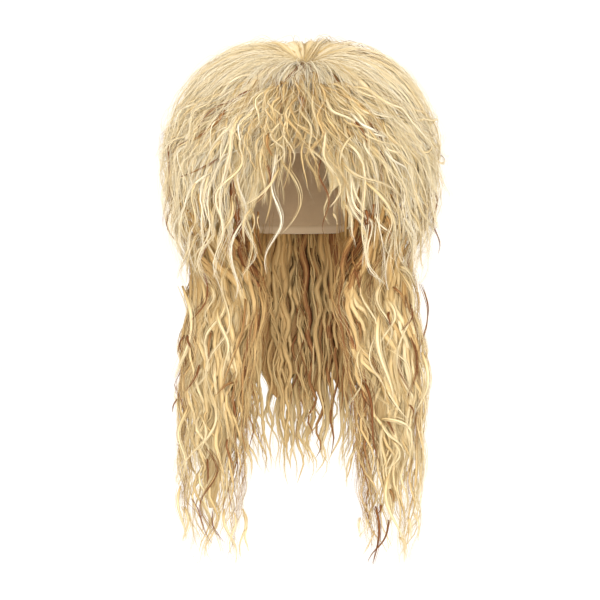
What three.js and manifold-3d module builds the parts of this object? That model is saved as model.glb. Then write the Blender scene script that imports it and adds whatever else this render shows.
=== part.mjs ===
// A mullet wig: a stretch net cap that carries a teased crown, a fringe, flared side layers,
// two long wavy tresses that come forward over the shoulders, and a long back.
// Millimetres, +Z up. The face looks along -Y and the wearer's left is +X. The origin is the
// inside top of the cap, where the crown of the head touches it.
import * as THREE from "three";
import { mergeVertices } from "three/addons/utils/BufferGeometryUtils.js";
import Module from "manifold-3d";

const wasm = await Module();
wasm.setup();

// The head and the cap on it
const headWidth = 154;
const headDepth = 194;
const headRise = 98; // from the widest level of the head up to its crown
const headFall = 170; // how slowly the head narrows below its widest level
const capWall = 1.6;
const capDepth = 150; // from the crown down to the edge at the nape
const seatGap = 0.4; // between two pieces that touch

// The puff: the teased form that the crown, fringe and side layers share
const topVolume = 82;
const sideVolume = 82;
const frontVolume = 36;
const backVolume = 50;
const puffLevel = 60; // how far below the crown of the head the puff is widest
const puffFall = 255; // how slowly the puff narrows below its widest level
const puffShift = 4; // the styling leans to the wearer's left
const topPower = 2.2; // how square its top is; 2 is round
const whorlTilt = 26; // degrees forward of straight up
const whorlTurn = 4; // degrees towards the wearer's left
const whorlReach = 17; // degrees
const whorlDip = 0.13; // share of the puff's radius
const lockWidth = 36; // of a lock of hair at its widest, which the layers take shares of
const lockRise = 5; // how far a lock of the puff stands out of the form under it
const lengthRise = 7; // how far a lock of the long lengths stands out

// Where the layers part from each other
const fringeTop = 26;
const fringeHalfAngle = 28;
const fringeRoot = 66; // below the crown of the head
const fringeTip = 132;
const sideTop = 8; // below the crown of the head
const sideEndAngle = 118;
const sideRoot = 166;
const sideTip = 212;
const backRoot = 160;
const backTip = 206;
const faceHalfWidth = 64;
const faceArchTop = 46; // below the crown of the head
const tipFlick = 16; // how far the tips of the side layers stand away
const rootTuck = 2; // how far below a layer's upper edge its locks start
const backLap = 4; // degrees that the back's locks start past the side layers' edge

// The long lengths
const tressTop = 95; // below the crown of the head
const tressReach = 540;
const tressOffset = 27; // outwards from the side of the head to the middle of a tress
const tressWidth = 88;
const tressForward = 70;
const tressDepth = 50;
const tressCoreEnd = 0.93;
const maneTop = 105;
const maneReach = 470;
const maneWidth = 224;
const maneBack = 32; // from the back of the head out to the middle of the mane
const maneDepth = 50;
const maneCoreEnd = 0.92;
const endTaper = 0.6; // how much of its size a core loses towards its end
const waveLength = 86;
const waveSwing = 7;

const degree = Math.PI / 180;

// The edge of the cap from the side: along is a share of half the head's depth, from the face
// to the back, and down is a share of the cap's depth.
const capEdge = [
  { place: "ahead", along: -1.3, down: 0.3 },
  { place: "forehead", along: -0.98, down: 0.34 },
  { place: "temple", along: -0.72, down: 0.45 },
  { place: "tab_front", along: -0.46, down: 0.69 },
  { place: "tab_tip", along: -0.26, down: 0.72 },
  { place: "ear", along: -0.04, down: 0.58 },
  { place: "behind_ear", along: 0.24, down: 0.8 },
  { place: "nape_side", along: 0.6, down: 0.97 },
  { place: "nape", along: 0.9, down: 1 },
  { place: "behind", along: 1.3, down: 1.01 },
];

// A tress from its root on the cap to its tip: down is a share of its length, out of its middle's
// distance from the wig's middle, forward of tressForward, width and depth of its own sizes.
const tressRows = [
  { down: 0.0, out: 0.8, width: 0.56, forward: -0.42, depth: 1.2 },
  { down: 0.1, out: 0.87, width: 0.82, forward: -0.2, depth: 1.85 },
  { down: 0.21, out: 0.82, width: 1.06, forward: 0.16, depth: 1.8 },
  { down: 0.31, out: 0.83, width: 1.14, forward: 0.66, depth: 1.5 },
  { down: 0.42, out: 0.92, width: 1.06, forward: 0.98, depth: 1.1 },
  { down: 0.55, out: 0.99, width: 0.96, forward: 1.03, depth: 1.0 },
  { down: 0.69, out: 1.0, width: 0.94, forward: 1.02, depth: 0.98 },
  { down: 0.8, out: 1.01, width: 0.9, forward: 0.98, depth: 0.88 },
  { down: 0.9, out: 1.01, width: 0.84, forward: 0.96, depth: 0.76 },
  { down: 1.0, out: 1.02, width: 0.74, forward: 0.94, depth: 0.6 },
];

// The mane from the nape to its tip: down is a share of its length, width and depth of its own
// sizes, back of maneBack, and wrap says how far its sides come forward, as a share of its width.
const maneRows = [
  { down: 0.0, width: 0.74, back: 0.1, depth: 0.96, wrap: 0.26 },
  { down: 0.12, width: 0.9, back: 0.72, depth: 1.1, wrap: 0.32 },
  { down: 0.26, width: 0.98, back: 0.6, depth: 1.1, wrap: 0.3 },
  { down: 0.41, width: 1.02, back: 0.52, depth: 1.0, wrap: 0.2 },
  { down: 0.59, width: 1.04, back: 0.44, depth: 0.9, wrap: 0.13 },
  { down: 0.75, width: 1.0, back: 0.34, depth: 0.82, wrap: 0.1 },
  { down: 0.88, width: 0.96, back: 0.3, depth: 0.7, wrap: 0.09 },
  { down: 1.0, width: 0.9, back: 0.28, depth: 0.54, wrap: 0.08 },
];

const headForm = {
  centre: new THREE.Vector3(0, 0, -headRise),
  halfWidth: headWidth / 2,
  front: headDepth / 2,
  back: headDepth / 2,
  up: headRise,
  down: headFall,
};

const puffForm = {
  centre: new THREE.Vector3(puffShift, 0, -puffLevel),
  halfWidth: headWidth / 2 + capWall + sideVolume,
  front: headDepth / 2 + capWall + frontVolume,
  back: headDepth / 2 + capWall + backVolume,
  up: puffLevel + capWall + topVolume,
  down: puffFall,
};

const farOut = 3 * headDepth + puffFall; // past everything that a cutter has to cut

// Solids and cutters

function solidFrom(geometry) {
  geometry.deleteAttribute("normal");
  geometry.deleteAttribute("uv");
  const merged = mergeVertices(geometry, 1e-4);
  return new wasm.Manifold(
    new wasm.Mesh({
      numProp: 3,
      vertProperties: new Float32Array(merged.getAttribute("position").array),
      triVerts: new Uint32Array(merged.index.array),
    }),
  );
}

function geometryFrom(solid) {
  const mesh = solid.getMesh();
  const geometry = new THREE.BufferGeometry();
  geometry.setAttribute("position", new THREE.BufferAttribute(mesh.vertProperties, mesh.numProp));
  geometry.setIndex(new THREE.BufferAttribute(mesh.triVerts, 1));
  geometry.computeVertexNormals();
  return geometry;
}

// A lock's tip that a neighbour cuts through is trimmed away with what it leaves.
function largestPart(solid) {
  return solid.decompose().reduce((a, b) => (a.volume() > b.volume() ? a : b));
}

function unionOf(solids) {
  return solids.reduce((a, b) => a.add(b));
}

// A closed solid through rings of the same number of points, each turning the same way.
function loft(rings) {
  const count = rings[0].length;
  const points = rings.flat().flatMap((p) => [p.x, p.y, p.z]);
  const faces = [];
  for (let i = 0; i + 1 < rings.length; i++) {
    for (let j = 0; j < count; j++) {
      const a = i * count + j;
      const b = i * count + ((j + 1) % count);
      faces.push(a, b, b + count, a, b + count, a + count);
    }
  }
  const last = (rings.length - 1) * count;
  for (let j = 1; j + 1 < count; j++) {
    faces.push(0, j + 1, j);
    faces.push(last, last + j, last + j + 1);
  }
  const geometry = new THREE.BufferGeometry();
  geometry.setAttribute("position", new THREE.Float32BufferAttribute(points, 3));
  geometry.setIndex(faces);
  return solidFrom(geometry);
}

// Moves the sides of a level ring outwards. Seen from above, the ring turns clockwise.
function grownRing(ring, grow) {
  const normals = ring.map((p, i) => {
    const along = ring[(i + 1) % ring.length].clone().sub(p);
    return new THREE.Vector3(-along.y, along.x, 0).normalize();
  });
  return ring.map((p, i) => {
    const before = normals[(i + ring.length - 1) % ring.length];
    const corner = before.clone().add(normals[i]).divideScalar(1 + before.dot(normals[i]));
    return p.clone().addScaledVector(corner, grow);
  });
}

function extrudeAcross(shape, length, acrossAxis) {
  const geometry = new THREE.ExtrudeGeometry(shape, { depth: length, bevelEnabled: false, steps: 1 });
  geometry.translate(0, 0, -length / 2);
  const basis = {
    x: [new THREE.Vector3(0, 1, 0), new THREE.Vector3(0, 0, 1), new THREE.Vector3(1, 0, 0)],
    y: [new THREE.Vector3(1, 0, 0), new THREE.Vector3(0, 0, 1), new THREE.Vector3(0, -1, 0)],
    z: [new THREE.Vector3(1, 0, 0), new THREE.Vector3(0, 1, 0), new THREE.Vector3(0, 0, 1)],
  }[acrossAxis];
  geometry.applyMatrix4(new THREE.Matrix4().makeBasis(...basis));
  return solidFrom(geometry);
}

function boxBetween(bottom, top) {
  const geometry = new THREE.BoxGeometry(2 * farOut, 2 * farOut, top - bottom);
  geometry.translate(0, 0, (top + bottom) / 2);
  return solidFrom(geometry);
}

// Egg-shaped forms, with a reach of their own in each direction

function direction(azimuth, elevation) {
  const a = azimuth * degree;
  const e = elevation * degree;
  return new THREE.Vector3(Math.sin(a) * Math.cos(e), -Math.cos(a) * Math.cos(e), Math.sin(e));
}

const whorl = direction(whorlTurn, 90 - whorlTilt);

function reachOf(form, d, lift) {
  return new THREE.Vector3(
    form.halfWidth + lift,
    (d.y < 0 ? form.front : form.back) + lift,
    (d.z > 0 ? form.up : form.down) + lift,
  );
}

function pointOn(form, d, lift = 0) {
  return d.clone().multiply(reachOf(form, d, lift)).add(form.centre);
}

function outwardAt(form, d) {
  return d.clone().divide(reachOf(form, d, 0)).normalize();
}

// The puff's upper half is squarer than an egg, and the whorl dents it.
function puffPoint(d, lift = 0) {
  const level = Math.hypot(d.x, d.y);
  const square = d.z > 0 ? (level ** topPower + d.z ** topPower) ** (-1 / topPower) : 1;
  const away = d.angleTo(whorl) / (whorlReach * degree);
  const dip = 1 - whorlDip * Math.exp(-away * away);
  const reach = pointOn(puffForm, d, lift).sub(puffForm.centre);
  return reach.multiplyScalar(square * dip).add(puffForm.centre);
}

function formSolid(place, columns, rows) {
  const geometry = new THREE.SphereGeometry(1, columns, rows);
  geometry.rotateX(Math.PI / 2);
  const position = geometry.getAttribute("position");
  const d = new THREE.Vector3();
  for (let i = 0; i < position.count; i++) {
    const p = place(d.fromBufferAttribute(position, i));
    position.setXYZ(i, p.x, p.y, p.z);
  }
  return solidFrom(geometry);
}

function headSolid(lift) {
  return formSolid((d) => pointOn(headForm, d, lift), 20, 14);
}

// What lies between two azimuths and two heights, with each side moved out by grow.
function zoneSolid({ from, to, top, bottom }, grow = 0) {
  const middle = direction((from + to) / 2, 0);
  const half = ((to - from) / 2) * degree;
  const apex = middle.multiplyScalar(-grow / Math.sin(half));
  const points = [new THREE.Vector2(apex.x, apex.y)];
  const steps = 4;
  for (let i = 0; i <= steps; i++) {
    const d = direction(from + ((to - from) * i) / steps, 0);
    points.push(new THREE.Vector2(apex.x + farOut * d.x, apex.y + farOut * d.y));
  }
  const height = top - bottom + 2 * grow;
  const zone = extrudeAcross(new THREE.Shape(points), height, "z");
  return zone.translate([0, 0, (top + bottom) / 2]);
}

// Locks

// A lens-shaped strip along path: flat across, rounded along each point's out, pointed at its tip.
// Its width is a share of lockWidth. Its root starts under the surface that the path runs on.
function lock(path, width, rise, grow) {
  const rings = path.map(({ point, out, taper }, i) => {
    const before = path[Math.max(i - 1, 0)].point;
    const after = path[Math.min(i + 1, path.length - 1)].point;
    const along = after.clone().sub(before).normalize();
    const side = out.clone().cross(along).normalize();
    const up = along.clone().cross(side);
    const w = (width * lockWidth * taper) / 2 + 2 * grow;
    const h = rise * Math.sqrt(taper) + 2 * grow;
    const past = i === 0 ? -grow : i === path.length - 1 ? grow : 0;
    const sunk = 1.4 * rise * Math.max(0, 1 - (4 * i) / path.length);
    const middle = point.clone().addScaledVector(along, past).addScaledVector(out, -sunk);
    const at = (s, u) => middle.clone().addScaledVector(side, s * w).addScaledVector(up, u * h);
    return [at(1, 0), at(0, 1), at(-1, 0), at(0, -1)];
  });
  return loft(rings);
}

// A lock's share of its width, with t from 0 at its root to 1 at its pointed tip.
function taperAt(t, rootShare = 0.6) {
  const fromRoot = rootShare + (1 - rootShare) * Math.min(1, 3 * t);
  return 0.12 + 0.88 * Math.sqrt(Math.max(0, 1 - t)) * fromRoot;
}

// A lock that sweeps over the puff from one direction to another.
function puffLock({ start, end, width, rootShare, flick, phase, steps }) {
  const axis = start.clone().cross(end).normalize();
  const angle = start.angleTo(end);
  const path = [];
  for (let i = 0; i <= steps; i++) {
    const t = i / steps;
    const d = start.clone().applyAxisAngle(axis, angle * t);
    const out = outwardAt(puffForm, d);
    const point = puffPoint(d, flick * t * t);
    const turn = (t * angle * puffForm.halfWidth) / waveLength + phase;
    const swing = waveSwing * t * Math.sin(2 * Math.PI * turn);
    path.push({ point: point.addScaledVector(axis, swing), out, taper: taperAt(t, rootShare) });
  }
  return lock(path, width, lockRise, 0);
}

// The direction on the puff at an azimuth and a height below the crown of the head.
function puffDirection(azimuth, below) {
  const z = puffLevel - below;
  const [reach, power] = z > 0 ? [puffForm.up, topPower] : [puffForm.down, 2];
  const share = Math.min(0.98, Math.abs(z) / reach);
  const elevation = Math.atan2(share, (1 - share ** power) ** (1 / power)) / degree;
  return direction(azimuth, Math.sign(z) * elevation);
}

// Every lock of a layer: count of them, evenly from one azimuth to the other, with their tips at
// the heights that tips gives by turns, as shares from root to tip. They start at the height top,
// or round the whorl where there is none.
function layerLocks({ count, from, to, top, root, tip, tips, width, flick, steps }) {
  const locks = [];
  for (let k = 0; k < count; k++) {
    const azimuth = from + ((to - from) * (k + 0.5)) / count;
    const sway = 5 * Math.sin(2.4 * k);
    const end = puffDirection(azimuth + sway, root + (tip - root) * tips[k % tips.length]);
    const radial = top === undefined;
    const start = radial ? whorl.clone().lerp(end, 0.1).normalize() : puffDirection(azimuth, top);
    const rootShare = radial ? 0.1 : 0.6;
    locks.push(puffLock({ start, end, width, rootShare, flick, phase: 0.37 * k, steps }));
  }
  return unionOf(locks);
}

// Interpolates a table's columns at a share down the length.
function rowAt(rows, down) {
  const next = Math.max(1, rows.findIndex((r) => r.down >= down));
  const [a, b] = [rows[next - 1], rows[next]];
  const t = (down - a.down) / (b.down - a.down);
  return Object.fromEntries(Object.keys(a).map((key) => [key, a[key] + (b[key] - a[key]) * t]));
}

// The long tresses

// The oval section of a tress at a share down it. side is 1 on the wearer's left, -1 on the right.
function tressSection(side, down) {
  const row = rowAt(tressRows, down);
  return {
    x: puffShift + side * row.out * (headWidth / 2 + tressOffset),
    y: -row.forward * tressForward,
    z: -(tressTop + (tressReach - tressTop) * down),
    halfWidth: (row.width * tressWidth) / 2,
    halfDepth: (row.depth * tressDepth) / 2,
  };
}

function tressPoint(section, angle) {
  return new THREE.Vector3(
    section.x + section.halfWidth * Math.sin(angle),
    section.y - section.halfDepth * Math.cos(angle),
    section.z,
  );
}

// How far a core has kept its size at share s of its own length.
function coreShare(s) {
  return 1 - endTaper * s ** 6;
}

function tressCore(side, grow) {
  const points = 10;
  const levels = 9;
  const rings = [];
  for (let i = 0; i <= levels; i++) {
    const section = tressSection(side, (tressCoreEnd * i) / levels);
    section.z += i === 0 ? grow : i === levels ? -grow : 0;
    section.halfWidth *= coreShare(i / levels);
    section.halfDepth *= coreShare(i / levels);
    const ring = [];
    for (let j = 0; j < points; j++) ring.push(tressPoint(section, (-2 * Math.PI * j) / points));
    rings.push(grownRing(ring, grow));
  }
  return loft(rings);
}

function tressLock(side, { angle, from, to, width, phase }, grow) {
  const steps = Math.round(((to - from) * (tressReach - tressTop)) / (waveLength / 3.5));
  const path = [];
  for (let i = 0; i <= steps; i++) {
    const t = i / steps;
    const down = from + (to - from) * t;
    const section = tressSection(side, down);
    const turn = (down * (tressReach - tressTop)) / waveLength + phase;
    const around = side * angle * degree;
    const out = new THREE.Vector3(Math.sin(around), -Math.cos(around), 0);
    const across = new THREE.Vector3(Math.cos(around), Math.sin(around), 0);
    const point = tressPoint(section, around);
    point.addScaledVector(across, waveSwing * Math.sin(2 * Math.PI * turn));
    path.push({ point, out, taper: taperAt(t) });
  }
  return lock(path, width, lengthRise, grow);
}

// Where each lock of a tress lies: angle is degrees round it from the front, outwards positive,
// from and to are shares down it, and phase is the share of a wave that it starts at.
const tressLocks = [
  { angle: -70, from: 0.22, to: 0.93, width: 0.72, phase: 0.1 },
  { angle: -30, from: 0.18, to: 1.0, width: 0.9, phase: 0.45 },
  { angle: 5, from: 0.2, to: 0.95, width: 0.9, phase: 0.8 },
  { angle: 42, from: 0.18, to: 0.99, width: 0.9, phase: 0.2 },
  { angle: 84, from: 0.22, to: 0.96, width: 0.78, phase: 0.6 },
];

function tressSolid(side, grow) {
  const locks = tressLocks.map((row) => tressLock(side, row, grow));
  return unionOf([tressCore(side, grow), ...locks]);
}

// The long back

// A point of the mane: across runs from -1 on the wearer's right to 1 on the left, and skin is
// 1 on its outer face and -1 on the inner one, which meet at its sides.
function manePoint(down, across, skin, size = 1) {
  const row = rowAt(maneRows, down);
  const bulge = Math.sqrt(Math.max(0, 1 - across ** 4));
  const middle = headDepth / 2 + row.back * maneBack - row.wrap * maneWidth * across * across;
  return new THREE.Vector3(
    puffShift + ((row.width * maneWidth * size) / 2) * across,
    middle + ((skin * row.depth * maneDepth * size) / 2) * bulge,
    -(maneTop + (maneReach - maneTop) * down),
  );
}

function maneCore(grow) {
  const facets = 7;
  const levels = 9;
  const rings = [];
  for (let i = 0; i <= levels; i++) {
    const down = (maneCoreEnd * i) / levels;
    const size = coreShare(i / levels);
    const end = i === 0 ? grow : i === levels ? -grow : 0;
    const ring = [];
    for (let j = 0; j < facets; j++) ring.push(manePoint(down, -1 + (2 * j) / facets, 1, size));
    for (let j = 0; j < facets; j++) ring.push(manePoint(down, 1 - (2 * j) / facets, -1, size));
    ring.forEach((p) => (p.z += end));
    rings.push(grownRing(ring, grow));
  }
  return loft(rings);
}

const maneLockCount = 7;
const maneLockWidth = 0.95; // of lockWidth
const maneRoot = 0.22; // where its locks start, as a share down it
const maneTips = [0.9, 1, 0.94, 0.98, 0.88];
const maneSpread = 0.88; // how far across it the outermost locks lie

function maneLock(index, grow) {
  const across = maneSpread * ((2 * index) / (maneLockCount - 1) - 1);
  const [from, to] = [maneRoot, maneTips[index % maneTips.length]];
  const steps = Math.round(((to - from) * (maneReach - maneTop)) / (waveLength / 3.5));
  const path = [];
  for (let i = 0; i <= steps; i++) {
    const t = i / steps;
    const down = from + (to - from) * t;
    const point = manePoint(down, across, 1);
    const turn = (down * (maneReach - maneTop)) / waveLength + 0.31 * index;
    point.x += waveSwing * Math.sin(2 * Math.PI * turn);
    path.push({ point, out: new THREE.Vector3(0.5 * across, 1, 0).normalize(), taper: taperAt(t) });
  }
  return lock(path, maneLockWidth, lengthRise, grow);
}

function maneSolid(grow) {
  const locks = [];
  for (let k = 0; k < maneLockCount; k++) locks.push(maneLock(k, grow));
  return unionOf([maneCore(grow), ...locks]);
}

// The cap

function capSolid() {
  const edge = capEdge.map(
    (r) => new THREE.Vector2((r.along * headDepth) / 2, -r.down * capDepth),
  );
  const line = new THREE.SplineCurve(edge).getPoints(26);
  const shape = new THREE.Shape([
    ...line,
    new THREE.Vector2(farOut, line[line.length - 1].y),
    new THREE.Vector2(farOut, -farOut),
    new THREE.Vector2(-farOut, -farOut),
    new THREE.Vector2(-farOut, line[0].y),
  ]);
  const below = extrudeAcross(shape, 2 * headWidth, "x");
  return headSolid(capWall).subtract(headSolid(0)).subtract(below);
}

// The layers of the puff

const fringeZone = {
  from: -fringeHalfAngle,
  to: fringeHalfAngle,
  top: fringeTop,
  bottom: -farOut,
};

function sideZone(side) {
  const angles = [side * fringeHalfAngle, side * sideEndAngle].sort((a, b) => a - b);
  return { from: angles[0], to: angles[1], top: -sideTop, bottom: -farOut };
}

// The arched opening of the face, cut forward through the forms but not through the locks.
function faceOpening() {
  const shape = new THREE.Shape();
  shape.moveTo(-faceHalfWidth, -sideTip);
  shape.lineTo(faceHalfWidth, -sideTip);
  shape.lineTo(faceHalfWidth, -faceArchTop - faceHalfWidth);
  shape.absarc(0, -faceArchTop - faceHalfWidth, faceHalfWidth, 0, Math.PI, false);
  shape.closePath();
  const opening = extrudeAcross(shape, headDepth, "y");
  return opening.translate([0, -headDepth / 2, 0]);
}

function puffCoreAbove(root) {
  return formSolid((d) => puffPoint(d), 24, 14).intersect(boxBetween(-root, farOut));
}

const neighbours = {
  head: headSolid(capWall + seatGap),
  face: faceOpening(),
  tresses: tressSolid(-1, seatGap).add(tressSolid(1, seatGap)),
  mane: maneSolid(seatGap),
};

function fringeSolid() {
  const locks = layerLocks({
    count: 7,
    from: -fringeHalfAngle,
    to: fringeHalfAngle,
    top: rootTuck - fringeTop,
    root: fringeRoot,
    tip: fringeTip,
    tips: [0.7, 1, 0.6, 0.2, 0.5, 0.9, 1],
    width: 0.95,
    flick: 0,
    steps: 6,
  });
  return puffCoreAbove(fringeTip)
    .subtract(neighbours.face)
    .add(locks)
    .intersect(zoneSolid(fringeZone))
    .subtract(neighbours.head);
}

function sideLayerSolid(side) {
  const locks = layerLocks({
    count: 8,
    from: side * fringeHalfAngle,
    to: side * sideEndAngle,
    top: sideTop + rootTuck,
    root: sideRoot,
    tip: sideTip,
    tips: [0.7, 1, 0.8, 0.97, 0.7, 0.9, 0.6, 0.8],
    width: 1,
    flick: tipFlick,
    steps: 6,
  });
  return puffCoreAbove(sideRoot)
    .subtract(neighbours.face)
    .add(locks)
    .intersect(zoneSolid(sideZone(side)))
    .subtract(zoneSolid(fringeZone, seatGap))
    .subtract(neighbours.head)
    .subtract(neighbours.tresses)
    .subtract(neighbours.mane);
}

// The crown's locks radiate from the whorl: those to the front and sides run down to the layers
// below them, and those to the back hang to the tips of the back.
function crownSolid() {
  const short = layerLocks({
    count: 11,
    from: -sideEndAngle,
    to: sideEndAngle,
    root: -fringeTop,
    tip: sideTop,
    tips: [1],
    width: 1.05,
    flick: 0,
    steps: 5,
  });
  const long = layerLocks({
    count: 8,
    from: sideEndAngle - backLap,
    to: 360 - sideEndAngle + backLap,
    root: backRoot,
    tip: backTip,
    tips: [0.9, 0.7, 1, 0.8],
    width: 1.33,
    flick: tipFlick / 2,
    steps: 9,
  });
  return puffCoreAbove(backRoot)
    .add(short)
    .add(long)
    .subtract(zoneSolid(fringeZone, seatGap))
    .subtract(zoneSolid(sideZone(-1), seatGap))
    .subtract(zoneSolid(sideZone(1), seatGap))
    .subtract(neighbours.head)
    .subtract(neighbours.tresses)
    .subtract(neighbours.mane);
}

function tressPiece(side) {
  return tressSolid(side, 0).subtract(neighbours.head);
}

function manePiece() {
  return maneSolid(0).subtract(neighbours.head).subtract(neighbours.tresses);
}

const netFabric = new THREE.MeshStandardMaterial({ color: 0xb99a6b, roughness: 0.9, metalness: 0 });
const crownHair = new THREE.MeshStandardMaterial({ color: 0xe2cea2, roughness: 0.55, metalness: 0 });
const lengthHair = new THREE.MeshStandardMaterial({ color: 0xd8b981, roughness: 0.55, metalness: 0 });

function piece(name, solid, material) {
  const mesh = new THREE.Mesh(geometryFrom(largestPart(solid)), material);
  mesh.name = name;
  return mesh;
}

const wig = new THREE.Group();
wig.add(
  piece("wig_cap", capSolid(), netFabric),
  piece("crown_layers", crownSolid(), crownHair),
  piece("fringe", fringeSolid(), crownHair),
  piece("side_layers_right", sideLayerSolid(-1), crownHair),
  piece("side_layers_left", sideLayerSolid(1), crownHair),
  piece("tress_right", tressPiece(-1), lengthHair),
  piece("tress_left", tressPiece(1), lengthHair),
  piece("back_mane", manePiece(), lengthHair),
);

export default wig;
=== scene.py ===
import math

import bpy
import numpy as np
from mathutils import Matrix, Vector


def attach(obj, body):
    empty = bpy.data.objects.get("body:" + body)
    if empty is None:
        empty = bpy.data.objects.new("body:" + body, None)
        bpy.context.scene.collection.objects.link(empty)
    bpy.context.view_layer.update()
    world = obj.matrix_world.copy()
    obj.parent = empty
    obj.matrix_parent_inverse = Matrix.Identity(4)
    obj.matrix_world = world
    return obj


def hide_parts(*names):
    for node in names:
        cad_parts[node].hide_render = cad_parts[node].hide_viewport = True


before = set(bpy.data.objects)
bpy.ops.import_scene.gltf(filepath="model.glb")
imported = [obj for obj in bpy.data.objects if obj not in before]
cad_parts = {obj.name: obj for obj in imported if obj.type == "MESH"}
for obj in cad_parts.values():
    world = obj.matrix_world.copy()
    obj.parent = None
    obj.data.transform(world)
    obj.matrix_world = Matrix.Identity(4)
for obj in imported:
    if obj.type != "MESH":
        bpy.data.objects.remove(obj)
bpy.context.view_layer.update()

# A mullet wig, held up as a head holds it: a net cap that carries a teased crown, a fringe,
# flared side layers, two wavy tresses that come forward and a long back. Hair is made in three
# sizes: broad locks that fill the mass, narrow locks, and strands in clumps that share a wave.
# Under them soft forms close the gaps. These forms and the broad locks are toned darker than the
# hair over them, as painted shade of the deep hair. Lengths are millimetres until a mesh is made.
# The face looks along -Y, and right and left are the wearer's.

MM = 0.001

# The head and the cap on it, as in the part's source
HEAD_WIDTH = 154.0
HEAD_DEPTH = 194.0
HEAD_RISE = 98.0
HEAD_FALL = 170.0
CAP_WALL = 1.6
CAP_DEPTH = 150.0

# The cap's edge: how far back, in halves of the head's depth, and how low, in cap depths
CAP_EDGE = [
    (-1.3, 0.3), (-0.98, 0.34), (-0.72, 0.45), (-0.46, 0.69), (-0.26, 0.72),
    (-0.04, 0.58), (0.24, 0.8), (0.6, 0.97), (0.9, 1.0), (1.3, 1.01),
]

# The puff, as in the part's source
TOP_VOLUME = 82.0
SIDE_VOLUME = 82.0
FRONT_VOLUME = 36.0
BACK_VOLUME = 50.0
PUFF_LEVEL = 60.0
PUFF_FALL = 255.0
PUFF_SHIFT = 4.0
TOP_POWER = 2.2
WHORL_TILT = 26.0
WHORL_TURN = 4.0
WHORL_REACH = 17.0
WHORL_DIP = 0.13
FACE_HALF_WIDTH = 64.0
FACE_ARCH_TOP = 46.0

# The long lengths, as in the part's source
TRESS_TOP = 95.0
TRESS_REACH = 540.0
TRESS_OFFSET = 27.0
TRESS_WIDTH = 88.0
TRESS_FORWARD = 70.0
TRESS_DEPTH = 50.0
MANE_TOP = 105.0
MANE_REACH = 470.0
MANE_WIDTH = 224.0
MANE_BACK = 32.0
MANE_DEPTH = 50.0

# down, out, width, forward, depth
TRESS_ROWS = np.array([
    (0.0, 0.8, 0.56, -0.42, 1.2),
    (0.1, 0.87, 0.82, -0.2, 1.85),
    (0.21, 0.82, 1.06, 0.16, 1.8),
    (0.31, 0.83, 1.14, 0.66, 1.5),
    (0.42, 0.92, 1.06, 0.98, 1.1),
    (0.55, 0.99, 0.96, 1.03, 1.0),
    (0.69, 1.0, 0.94, 1.02, 0.98),
    (0.8, 1.01, 0.9, 0.98, 0.88),
    (0.9, 1.01, 0.84, 0.96, 0.76),
    (1.0, 1.02, 0.74, 0.94, 0.6),
])

# down, width, back, depth, wrap
MANE_ROWS = np.array([
    (0.0, 0.74, 0.1, 0.96, 0.26),
    (0.12, 0.9, 0.72, 1.1, 0.32),
    (0.26, 0.98, 0.6, 1.1, 0.3),
    (0.41, 1.02, 0.52, 1.0, 0.2),
    (0.59, 1.04, 0.44, 0.9, 0.13),
    (0.75, 1.0, 0.34, 0.82, 0.1),
    (0.88, 0.96, 0.3, 0.7, 0.09),
    (1.0, 0.9, 0.28, 0.54, 0.08),
])

# Where the hair parts in front: the fringe and the front of the side layers spring from an arc
# below the whorl. It is so high at the middle, in degrees, and falls towards each side.
ARC_MIDDLE = 36.0
ARC_DROP = 39.0
ARC_SIDE = 75.0

# Where hair on the puff's sides leaves it for the tresses, below the crown of the head
JOIN_TOP = 120.0
JOIN_LENGTH = 110.0

# The shortest and longest wave of the long hair, the wave of the forms under it, and the radius
# that turns an angle from the whorl into a run along the puff
LONG_WAVES = (66, 71)
UNDER_WAVE = 68
WAVE_RADIUS = 150

SIDES = ((-1, "right"), (1, "left"))

# The camera and the floor
TARGET = np.array([2.4, -40.0, -226.6])
DISTANCE = 2200.0
ELEVATION = math.radians(3.0)
FRAME_HEIGHT = 708.0
FLOOR_LEVEL = -660.0

PUFF_CENTRE = np.array([PUFF_SHIFT, 0.0, -PUFF_LEVEL])
PUFF_SIDE = HEAD_WIDTH / 2 + CAP_WALL + SIDE_VOLUME
PUFF_FRONT = HEAD_DEPTH / 2 + CAP_WALL + FRONT_VOLUME
PUFF_BACK = HEAD_DEPTH / 2 + CAP_WALL + BACK_VOLUME
PUFF_UP = PUFF_LEVEL + CAP_WALL + TOP_VOLUME
TRESS_LENGTH = TRESS_REACH - TRESS_TOP
MANE_LENGTH = MANE_REACH - MANE_TOP
EYE = TARGET + DISTANCE * np.array([0.0, -math.cos(ELEVATION), math.sin(ELEVATION)])


# Small vector helpers. Every array of points has x, y and z last.

def unit(v):
    return v / np.maximum(np.linalg.norm(v, axis=-1, keepdims=True), 1e-9)


def smooth(t):
    t = np.clip(t, 0.0, 1.0)
    return t * t * (3 - 2 * t)


def direction(azimuth, elevation):
    """A direction from angles in degrees: 0 looks to the front, and 90 to the wearer's left."""
    a, e = np.broadcast_arrays(np.radians(azimuth), np.radians(elevation))
    return np.stack([np.sin(a) * np.cos(e), -np.cos(a) * np.cos(e), np.sin(e)], -1)


WHORL = direction(WHORL_TURN, 90.0 - WHORL_TILT)


# The forms that the hair lies on

def reach(d, lift):
    """The puff's half sizes towards the direction d, with its surface moved out by lift."""
    lift = np.asarray(lift)
    return np.stack([
        PUFF_SIDE + lift + 0 * d[..., 0],
        np.where(d[..., 1] < 0, PUFF_FRONT, PUFF_BACK) + lift,
        np.where(d[..., 2] > 0, PUFF_UP, PUFF_FALL) + lift,
    ], -1)


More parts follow.
